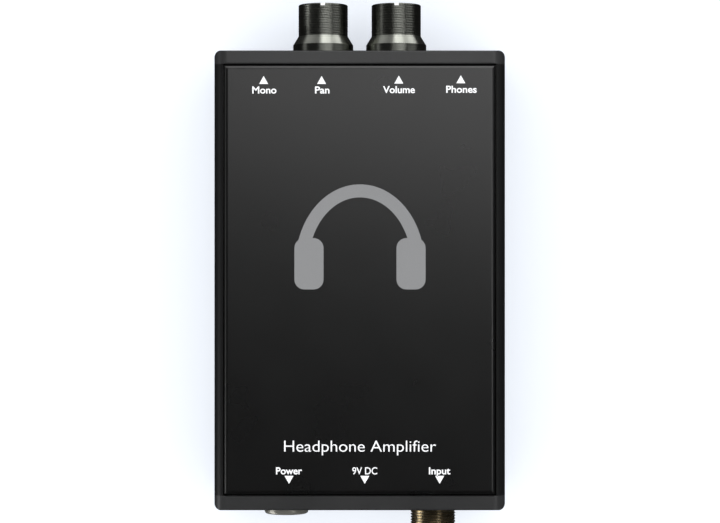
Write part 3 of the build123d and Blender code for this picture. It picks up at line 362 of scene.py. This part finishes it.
def new_piece(name, mesh, body, slot, material=None, flat=False):
    """Makes an object of a mesh, rides it on its body and gives it the material of its slot, or the given
    material.
    """
    piece = bpy.data.objects.new(name, mesh)
    bpy.context.scene.collection.objects.link(piece)
    mesh.materials.clear()
    mesh.materials.append(material or MATERIALS[slot])
    if flat:
        mesh.polygons.foreach_set("use_smooth", [False] * len(mesh.polygons))
    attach(piece, body)
    return piece


def mesh_of(name, bm):
    """Ends a bmesh as a mesh with its normals outwards, except on letters whose outline folds over."""
    bmesh.ops.recalc_face_normals(bm, faces=bm.faces)
    mesh = bpy.data.meshes.new(name)
    bm.to_mesh(mesh)
    bm.free()
    return mesh


def lathe(name, x, profile):
    """Mesh of a (radius, y) profile turned about the axis along Y at x, closed on itself or on the axis."""
    bm = bmesh.new()
    rings = []
    for radius, y in profile:
        if radius == 0:
            rings.append([bm.verts.new((x, y, AXIS_Z))])
            continue
        ring = []
        for step in range(LATHE_SEGMENTS):
            angle = math.tau * step / LATHE_SEGMENTS
            ring.append(bm.verts.new((x + radius * math.cos(angle), y, AXIS_Z + radius * math.sin(angle))))
        rings.append(ring)
    closing = rings[:1] if len(rings[0]) > 1 else []
    for low, high in zip(rings, rings[1:] + closing):
        for step in range(LATHE_SEGMENTS):
            after = (step + 1) % LATHE_SEGMENTS
            around = ((low, step), (low, after), (high, after), (high, step))
            corners = list(dict.fromkeys(ring[at % len(ring)] for ring, at in around))
            if len(corners) > 2:
                bm.faces.new(corners)
    return mesh_of(name, bm)


def evaluated_copy(thing):
    """New mesh of a text object, or of an object as its modifiers leave it."""
    return bpy.data.meshes.new_from_object(thing.evaluated_get(bpy.context.evaluated_depsgraph_get()))


def without(mesh, cutter_low, cutter_high):
    """The mesh with a box between two corners cut away."""
    bm = bmesh.new()
    bmesh.ops.create_cube(bm, size=1.0)
    for vertex in bm.verts:
        vertex.co = Vector(
            cutter_high[axis] if vertex.co[axis] > 0 else cutter_low[axis] for axis in range(3)
        )
    cutter = bpy.data.objects.new("cutter", mesh_of("cutter", bm))
    blank = bpy.data.objects.new("blank", mesh)
    for thing in (cutter, blank):
        bpy.context.scene.collection.objects.link(thing)
    cut = blank.modifiers.new("cut", "BOOLEAN")
    cut.operation, cut.solver, cut.object = "DIFFERENCE", "EXACT", cutter
    result = evaluated_copy(blank)
    for thing in (cutter, blank):
        bpy.data.objects.remove(thing)
    return result


def sharpen(mesh, degrees):
    """Smooth shading everywhere except over edges that turn by more than the given angle."""
    mesh.polygons.foreach_set("use_smooth", [True] * len(mesh.polygons))
    mesh.set_sharp_from_angle(angle=math.radians(degrees))


# ---------------------------------------------------------------- knobs
POCKET_RADIUS, POCKET_DEPTH = 6.5 * MM, 3.1 * MM
RELIEF_RADIUS, RELIEF_DEPTH = 3.8 * MM, 4.6 * MM
SHAFT_BORE, SHAFT_BORE_DEPTH = 3.02 * MM, 11.9 * MM
BARREL_SHARE = 6.62 / 8.07
FOOT_CHAMFER = 0.15 * MM
CONE_EDGE_BREAK = 0.03 * MM
CONE_RUN_OUT = 0.02 * MM

# turned ridges, and the plain margins at their ends
RIDGE_PITCH, RIDGE_DEPTH = 0.67 * MM, 0.06 * MM
SKIRT_PITCH, SKIRT_DEPTH = 0.42 * MM, 0.018 * MM
RIDGE_SAMPLES = 8
FOOT_MARGIN, SKIRT_MARGIN, BARREL_MARGIN = 0.2 * MM, 0.12 * MM, 0.1 * MM

# the end of the barrel: a round edge, a rim and a shallow dish
END_EDGE, END_EDGE_STEPS = 0.4 * MM, 6
RIM, DISH_SLOPE, DISH_DEPTH, DISH_MIDDLE = 0.9 * MM, 0.15 * MM, 0.06 * MM, 0.6 * MM

POINTER_CLEARANCE = 0.02 * MM
POINTER_OVERCUT = 1 * MM
KNOB_SHARP_ANGLE = 32


def ridged(radius, start, end, pitch, depth):
    """Points along a barrel whose radius dips once each pitch, as a turning tool leaves it."""
    count = round((end - start) / pitch) * RIDGE_SAMPLES
    points = []
    for step in range(count + 1):
        dip = 0.5 - 0.5 * math.cos(math.tau * step / RIDGE_SAMPLES)
        points.append((radius - depth * dip**3, start + (end - start) * step / count))
    return points


def knob_profile(foot, end, skirt, barrel):
    """From the end of the shaft bore out to the foot, and back over the outside to the axis."""
    skirt_top, cone_top, dish = foot + SKIRT_TOP, foot + CONE_TOP, end - DISH_DEPTH
    profile = [
        (0, foot + SHAFT_BORE_DEPTH),
        (SHAFT_BORE, foot + SHAFT_BORE_DEPTH),
        (SHAFT_BORE, foot + RELIEF_DEPTH),
        (RELIEF_RADIUS, foot + RELIEF_DEPTH),
        (RELIEF_RADIUS, foot + POCKET_DEPTH),
        (POCKET_RADIUS, foot + POCKET_DEPTH),
        (POCKET_RADIUS, foot),
        (skirt - FOOT_CHAMFER, foot),
        (skirt, foot + FOOT_CHAMFER),
    ]
    profile += ridged(skirt, foot + FOOT_MARGIN, skirt_top - SKIRT_MARGIN, SKIRT_PITCH, SKIRT_DEPTH)
    profile += [(skirt - CONE_EDGE_BREAK, skirt_top), (barrel + CONE_EDGE_BREAK, cone_top - CONE_RUN_OUT)]
    profile += ridged(barrel, cone_top + BARREL_MARGIN, end - END_EDGE, RIDGE_PITCH, RIDGE_DEPTH)
    for step in range(1, END_EDGE_STEPS + 1):
        angle = math.pi / 2 * step / END_EDGE_STEPS
        profile.append((barrel - END_EDGE * (1 - math.cos(angle)), end - END_EDGE * (1 - math.sin(angle))))
    profile += [(barrel - RIM, end), (barrel - RIM - DISH_SLOPE, dish), (DISH_MIDDLE, dish), (0, dish)]
    return profile


def knob(control):
    """Turned knob: ridged barrel over a cone and a skirt, hollow underneath, with a slot for its pointer."""
    low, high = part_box(f"{control}_knob")
    skirt = (high.x - low.x) / 2
    name = f"{control}_knob_turned"
    mesh = lathe(name, (low.x + high.x) / 2, knob_profile(low.y, high.y, skirt, skirt * BARREL_SHARE))
    slot_low, slot_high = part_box(f"{control}_pointer")
    mesh = without(
        mesh,
        slot_low - Vector((POINTER_CLEARANCE, 0, POINTER_CLEARANCE)),
        slot_high + Vector((POINTER_CLEARANCE, POINTER_OVERCUT, POINTER_OVERCUT)),
    )
    sharpen(mesh, KNOB_SHARP_ANGLE)
    piece = new_piece(name, mesh, f"{control}_control", "knob_metal")
    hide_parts(f"{control}_knob")


for control in ("pan", "volume"):
    knob(control)


# ---------------------------------------------------------------- input connector
THREAD_PITCH, THREAD_DEPTH = 0.75 * MM, 0.44 * MM
GROOVE_SHARE = 0.9
THREAD_SAMPLES, THREAD_SEGMENTS = 16, 144
RUN_IN = 0.5
COLLAR, COLLAR_OVERLAP = 0.92 * MM, 0.02 * MM
BARREL_BORE, BORE_DEPTH = 4.9 * MM, 5.3 * MM
NECK_RADIUS, NECK_BORE = 5.1 * MM, 3.9 * MM
KEY_WIDTH, KEY_DEPTH = 1.4 * MM, 0.4 * MM
TIP_CHAMFER, TIP_SLOPE = 0.55 * MM, 0.9
MOUTH_CHAMFER = 0.15 * MM
THREAD_SHARP_ANGLE = 50


def threaded_shell():
    """Barrel with a real helical thread outside and a keyway inside."""
    low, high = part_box("input_shell")
    x = (low.x + high.x) / 2
    radius = (high.x - low.x) / 2
    tip, neck_end = low.y, high.y
    bore_end = tip + BORE_DEPTH
    thread_start = CONNECTOR_FACE - COLLAR
    rows = round((thread_start - tip) / THREAD_PITCH * THREAD_SAMPLES)
    bm = bmesh.new()

    def ring(radius_at, y):
        """Ring of vertices whose radius depends on how far round they are, from 0 to 1."""
        made = []
        for step in range(THREAD_SEGMENTS):
            angle = math.tau * step / THREAD_SEGMENTS
            size = radius_at(step / THREAD_SEGMENTS)
            made.append(bm.verts.new((x + size * math.cos(angle), y, AXIS_Z + size * math.sin(angle))))
        return made

    def plain(size):
        return lambda turn: size

    def threaded(y):
        down = thread_start - y
        run_in = min(1.0, down / (RUN_IN * THREAD_PITCH))
        chamfer = TIP_SLOPE * min(0.0, (y - tip) - TIP_CHAMFER)

        def at(turn):
            phase = (down / THREAD_PITCH - turn) % 1.0
            cut = max(0.0, 1 - abs(2 * phase - 1) / GROOVE_SHARE)
            return radius - THREAD_DEPTH * cut * run_in + chamfer

        return at

    def keyed(size):
        def at(turn):
            angle = math.tau * turn
            in_key = math.sin(angle) > 0 and abs(size * math.cos(angle)) < KEY_WIDTH / 2
            return size + KEY_DEPTH if in_key else size

        return at

    rings = [
        ring(plain(NECK_BORE), neck_end),
        ring(plain(NECK_RADIUS), neck_end),
        ring(plain(NECK_RADIUS), CONNECTOR_FACE),
        ring(plain(radius), CONNECTOR_FACE - COLLAR_OVERLAP),
        ring(plain(radius), thread_start),
    ]
    for row in range(1, rows + 1):
        y = thread_start + (tip - thread_start) * row / rows
        rings.append(ring(threaded(y), y))
    rings += [
        ring(keyed(BARREL_BORE + MOUTH_CHAMFER), tip),
        ring(keyed(BARREL_BORE), tip + MOUTH_CHAMFER),
        ring(keyed(BARREL_BORE), bore_end),
        ring(plain(NECK_BORE), bore_end),
    ]
    for near, far in zip(rings, rings[1:] + rings[:1]):
        for step in range(THREAD_SEGMENTS):
            after = (step + 1) % THREAD_SEGMENTS
            bm.faces.new((near[step], near[after], far[after], far[step]))
    mesh = mesh_of("input_shell_threaded", bm)
    sharpen(mesh, THREAD_SHARP_ANGLE)
    piece = new_piece("input_shell_threaded", mesh, "case", "connector_metal")
    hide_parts("input_shell")


threaded_shell()


# ---------------------------------------------------------------- print on the top plate
INK_THICKNESS, INK_SINK = 0.02 * MM, 0.004 * MM
CUP_THICKNESS = 0.026 * MM
CONTROLS_WORDS_Y, CONTROLS_MARKS_Y = 46.33 * MM, 48.94 * MM
CONNECTORS_WORDS_Y, CONNECTORS_MARKS_Y = -52.94 * MM, -55.28 * MM
TITLE_X, TITLE_Y, TITLE_WIDTH = 0.1 * MM, -46.5 * MM, 39.6 * MM
MARK_WIDTH, MARK_HEIGHT = 2.34 * MM, 2.08 * MM
WORD_HEIGHT, TITLE_HEIGHT = 1.85 * MM, 2.85 * MM

# how much the strokes of the letters are thickened, for letters one unit high
WORD_WEIGHT, FIGURE_WEIGHT, TITLE_WEIGHT = 0.02, 0.008, -0.006
CURVE_STEPS = 6
WELD = 0.0001 * MM


def raise_ink(bm, faces, thickness):
    """Extrudes flat faces, which lie just under the top of the plate, to stand above it as ink."""
    grown = bmesh.ops.extrude_face_region(bm, geom=faces)
    lifted = [item for item in grown["geom"] if isinstance(item, bmesh.types.BMVert)]
    bmesh.ops.translate(bm, vec=(0, 0, thickness + INK_SINK), verts=lifted)


def slab(name, outlines, material=None, thickness=INK_THICKNESS):
    """Ink layer on the top plate from closed outlines of (x, y) points."""
    bm = bmesh.new()
    for outline in outlines:
        face = bm.faces.new([bm.verts.new((x, y, PLATE_TOP - INK_SINK)) for x, y in outline])
        raise_ink(bm, [face], thickness)
    new_piece(name, mesh_of(name, bm), "case", "white_inlay", material, flat=True)


def mark(name, x, y, direction):
    """Triangle that points towards the end of the case."""
    half, tip = MARK_WIDTH / 2, direction * MARK_HEIGHT / 2
    slab(name, [[(x - half, y - tip), (x + half, y - tip), (x, y + tip)]])


def letters(words, weight):
    """Flat mesh of words in Blender's built-in font, one unit high."""
    curve = bpy.data.curves.new("words", "FONT")
    curve.body = words
    curve.offset = weight
    curve.resolution_u = CURVE_STEPS
    holder = bpy.data.objects.new("words", curve)
    bpy.context.scene.collection.objects.link(holder)
    mesh = evaluated_copy(holder)
    bpy.data.objects.remove(holder)
    return mesh


def limits(mesh, axis):
    values = [vertex.co[axis] for vertex in mesh.vertices]
    return min(values), max(values)


def lettering(name, words, x, y, width, cap_height, weight):
    """Words printed on the plate, centred on x, with their capitals centred on y."""
    mesh = letters(words, weight)
    bottom, top = limits(letters("H", weight), 1)
    left, right = limits(mesh, 0)
    across, up = width / (right - left), cap_height / (top - bottom)
    bm = bmesh.new()
    bm.from_mesh(mesh)
    for vertex in bm.verts:
        vertex.co = (
            x + (vertex.co.x - (left + right) / 2) * across,
            y + (vertex.co.y - (bottom + top) / 2) * up,
            PLATE_TOP - INK_SINK,
        )
    bmesh.ops.remove_doubles(bm, verts=bm.verts, dist=WELD)
    raise_ink(bm, bm.faces[:], INK_THICKNESS)
    new_piece(name, mesh_of(name, bm), "case", "white_inlay", flat=True)


# in mm: the middle of the words, the middle of the mark, the width of the words, and how much nearer
# to the end of the case both stand than the rest of their row
for name, words, x, mark_x, width, rise in (
    ("legend_mono", "Mono", -24.85, -25.03, 6.3, 0.0),
    ("legend_pan", "Pan", -9.76, -9.92, 3.78, 0.0),
    ("legend_volume", "Volume", 10.23, 10.2, 8.3, 0.1),
    ("legend_phones", "Phones", 26.52, 26.36, 7.95, 0.18),
):
    words_y, marks_y = CONTROLS_WORDS_Y + rise * MM, CONTROLS_MARKS_Y + rise * MM
    lettering(name, words, x * MM, words_y, width * MM, WORD_HEIGHT, WORD_WEIGHT)
    mark(name + "_mark", mark_x * MM, marks_y, 1)
for name, words, x, width, weight in (
    ("legend_power", "Power", -18.42, 6.8, WORD_WEIGHT),
    ("legend_supply", "9V DC", 1.32, 6.5, FIGURE_WEIGHT),
    ("legend_input", "Input", 20.84, 5.6, WORD_WEIGHT),
):
    lettering(name, words, x * MM, CONNECTORS_WORDS_Y, width * MM, WORD_HEIGHT, weight)
    mark(name + "_mark", x * MM, CONNECTORS_MARKS_Y, -1)
lettering("title", "Headphone Amplifier", TITLE_X, TITLE_Y, TITLE_WIDTH, TITLE_HEIGHT, TITLE_WEIGHT)

# emblem: a plain headphone pictogram, a band over two ear cups
EMBLEM_X, EMBLEM_Y = 0.08 * MM, 8.03 * MM
EMBLEM_WIDTH, EMBLEM_HEIGHT = 36.0 * MM, 27.4 * MM
BAND_THICKNESS, BAND_INSET, BAND_STEPS = 3.4 * MM, 1.2 * MM, 64
CUP_WIDTH, CUP_HEIGHT, CUP_INSET = 7.6 * MM, 13.4 * MM, 0.9 * MM
CUP_RADIUS, CORNER_STEPS = 2.6 * MM, 8


def arc(centre_x, centre_y, radius_x, radius_y, first, last, steps):
    """Points on an ellipse between two angles in degrees."""
    points = []
    for step in range(steps + 1):
        angle = math.radians(first + (last - first) * step / steps)
        points.append((centre_x + radius_x * math.cos(angle), centre_y + radius_y * math.sin(angle)))
    return points


def cup(centre_x, centre_y):
    """Ear cup: a rectangle with round corners."""
    half_x, half_y = CUP_WIDTH / 2 - CUP_RADIUS, CUP_HEIGHT / 2 - CUP_RADIUS
    points = []
    for sign_x, sign_y, first in ((1, 1, 0), (-1, 1, 90), (-1, -1, 180), (1, -1, 270)):
        corner = (centre_x + sign_x * half_x, centre_y + sign_y * half_y)
        points += arc(*corner, CUP_RADIUS, CUP_RADIUS, first, first + 90, CORNER_STEPS)
    return points


def emblem():
    half = EMBLEM_WIDTH / 2
    band_foot = EMBLEM_Y - EMBLEM_HEIGHT / 2 + CUP_HEIGHT / 2
    across, rise = half - BAND_INSET, EMBLEM_HEIGHT - CUP_HEIGHT / 2
    outer = arc(EMBLEM_X, band_foot, across, rise, 0, 180, BAND_STEPS)
    inner = arc(EMBLEM_X, band_foot, across - BAND_THICKNESS, rise - BAND_THICKNESS, 180, 0, BAND_STEPS)
    slab("emblem_band", [outer + inner], MATERIALS["emblem_ink"])
    offset = half - CUP_WIDTH / 2 - CUP_INSET
    cups = [cup(EMBLEM_X - offset, band_foot), cup(EMBLEM_X + offset, band_foot)]
    slab("emblem_cups", cups, MATERIALS["emblem_ink"], CUP_THICKNESS)


emblem()


# ---------------------------------------------------------------- floor, lights and camera
FLOOR_RADIUS, COVE_RADIUS, WALL_HEIGHT = 2.2, 1.2, 2.6
FLOOR_SEGMENTS, COVE_STEPS = 96, 12
FLOOR_GAP = 0.05 * MM
FLOOR_COLOUR, FLOOR_GLOW = (0.5, 0.52, 0.54), (0.48, 0.5, 0.54)
WORLD_LIGHT = 0.02
CAMERA_PLACE = (0.08 * MM, 1.62 * MM, 638 * MM)
SENSOR_WIDTH, FOCAL_LENGTH = 36.0, 115.1


def floor():
    """Wide pale sweep of paper under the feet, which curves up into a wall all round."""
    profile = [(FLOOR_RADIUS, 0.0)]
    for step in range(1, COVE_STEPS + 1):
        angle = math.pi / 2 * step / COVE_STEPS
        profile.append((FLOOR_RADIUS + COVE_RADIUS * math.sin(angle), COVE_RADIUS * (1 - math.cos(angle))))
    profile.append((FLOOR_RADIUS + COVE_RADIUS, WALL_HEIGHT))
    bm = bmesh.new()
    middle = bm.verts.new((0, 0, 0))
    angles = [math.tau * step / FLOOR_SEGMENTS for step in range(FLOOR_SEGMENTS)]
    rings = []
    for radius, height in profile:
        rings.append([bm.verts.new((radius * math.cos(a), radius * math.sin(a), height)) for a in angles])
    for step in range(FLOOR_SEGMENTS):
        after = (step + 1) % FLOOR_SEGMENTS
        bm.faces.new((middle, rings[0][step], rings[0][after]))
        for low, high in zip(rings, rings[1:]):
            bm.faces.new((low[step], high[step], high[after], low[after]))
    mesh = bpy.data.meshes.new("floor")
    bm.to_mesh(mesh)
    bm.free()
    mesh.polygons.foreach_set("use_smooth", [True] * len(mesh.polygons))
    mesh.materials.append(paper("floor_paper", FLOOR_COLOUR, FLOOR_GLOW))
    made = bpy.data.objects.new("floor", mesh)
    made.location.z = -FLOOR_GAP
    made.visible_glossy = False
    made.visible_shadow = False
    bpy.context.scene.collection.objects.link(made)


def softbox(name, place, target, size, radiance, turn=0.0, shape="RECTANGLE", mirrored=True):
    """Flat light of the given radiance, aimed at a point and turned about its own axis.

    A mirrored one shows only in glossy reflections, and any other lights only by diffusion.
    """
    light = bpy.data.lights.new(name, "AREA")
    light.shape = shape
    light.size, light.size_y = size
    filled = math.pi / 4 if shape == "ELLIPSE" else 1.0
    light.energy = radiance * math.pi * filled * size[0] * size[1]
    made = bpy.data.objects.new(name, light)
    made.location = place
    aim = (Vector(target) - Vector(place)).to_track_quat("-Z", "Y")
    made.rotation_euler = (aim @ Quaternion((0, 0, 1), math.radians(turn))).to_euler()
    made.visible_camera = False
    made.visible_glossy = mirrored
    made.visible_diffuse = not mirrored
    bpy.context.scene.collection.objects.link(made)


def surroundings(strength):
    """Dim even world light."""
    world = bpy.data.worlds.new("studio")
    bpy.context.scene.world = world
    world.use_nodes = True
    world.node_tree.nodes["Background"].inputs["Color"].default_value = (strength, strength, strength, 1)


floor()
surroundings(WORLD_LIGHT)

# places and sizes in metres: one big light overhead for matt surfaces, three above for the gradient of
# the plate and the streaks on the knobs, three beyond the controls for the knobs' cones and the edges
# that face them, and two low on the left for the shoulder, the power button and the input barrel
MIDDLE = Vector((0, BODY_MIDDLE_Y, AXIS_Z))
softbox("overhead_fill", (0, 0, 2.4), MIDDLE, (4.4, 4.4), 1.9, mirrored=False)
softbox("top", (0.22, 0.23, 0.62), MIDDLE, (1.3, 0.16), 1.7, turn=-10, shape="ELLIPSE")
softbox("plate_glow", (0.02, 0.13, 0.62), MIDDLE, (0.34, 0.15), 1.3)
softbox("right_soft", (1.15, 0.4, 0.6), MIDDLE, (0.5, 0.9), 0.45)
softbox("key", (0.7, 0.95, 0.2), (0.7, 0, 0.2), (1.6, 0.8), 1.2)
softbox("key_centre", (0.17, 0.94, 0.5), (0.17, 0, 0.5), (0.5, 0.5), 1.3)
softbox("key_left", (-0.6, 0.95, 0.2), (-0.6, 0, 0.2), (1.0, 0.8), 0.43)
softbox("left_strip", (-0.8, 0.1, 0.23), MIDDLE, (0.9, 0.2), 0.55)
softbox("connector_strip", (-0.75, -0.45, 0.1), MIDDLE, (0.6, 0.35), 3.5)

camera_data = bpy.data.cameras.new("camera")
camera_data.sensor_width = SENSOR_WIDTH
camera_data.lens = FOCAL_LENGTH
camera = bpy.data.objects.new("camera", camera_data)
camera.location = CAMERA_PLACE
bpy.context.scene.collection.objects.link(camera)
bpy.context.scene.camera = camera
bpy.context.scene.view_settings.view_transform = "Standard"
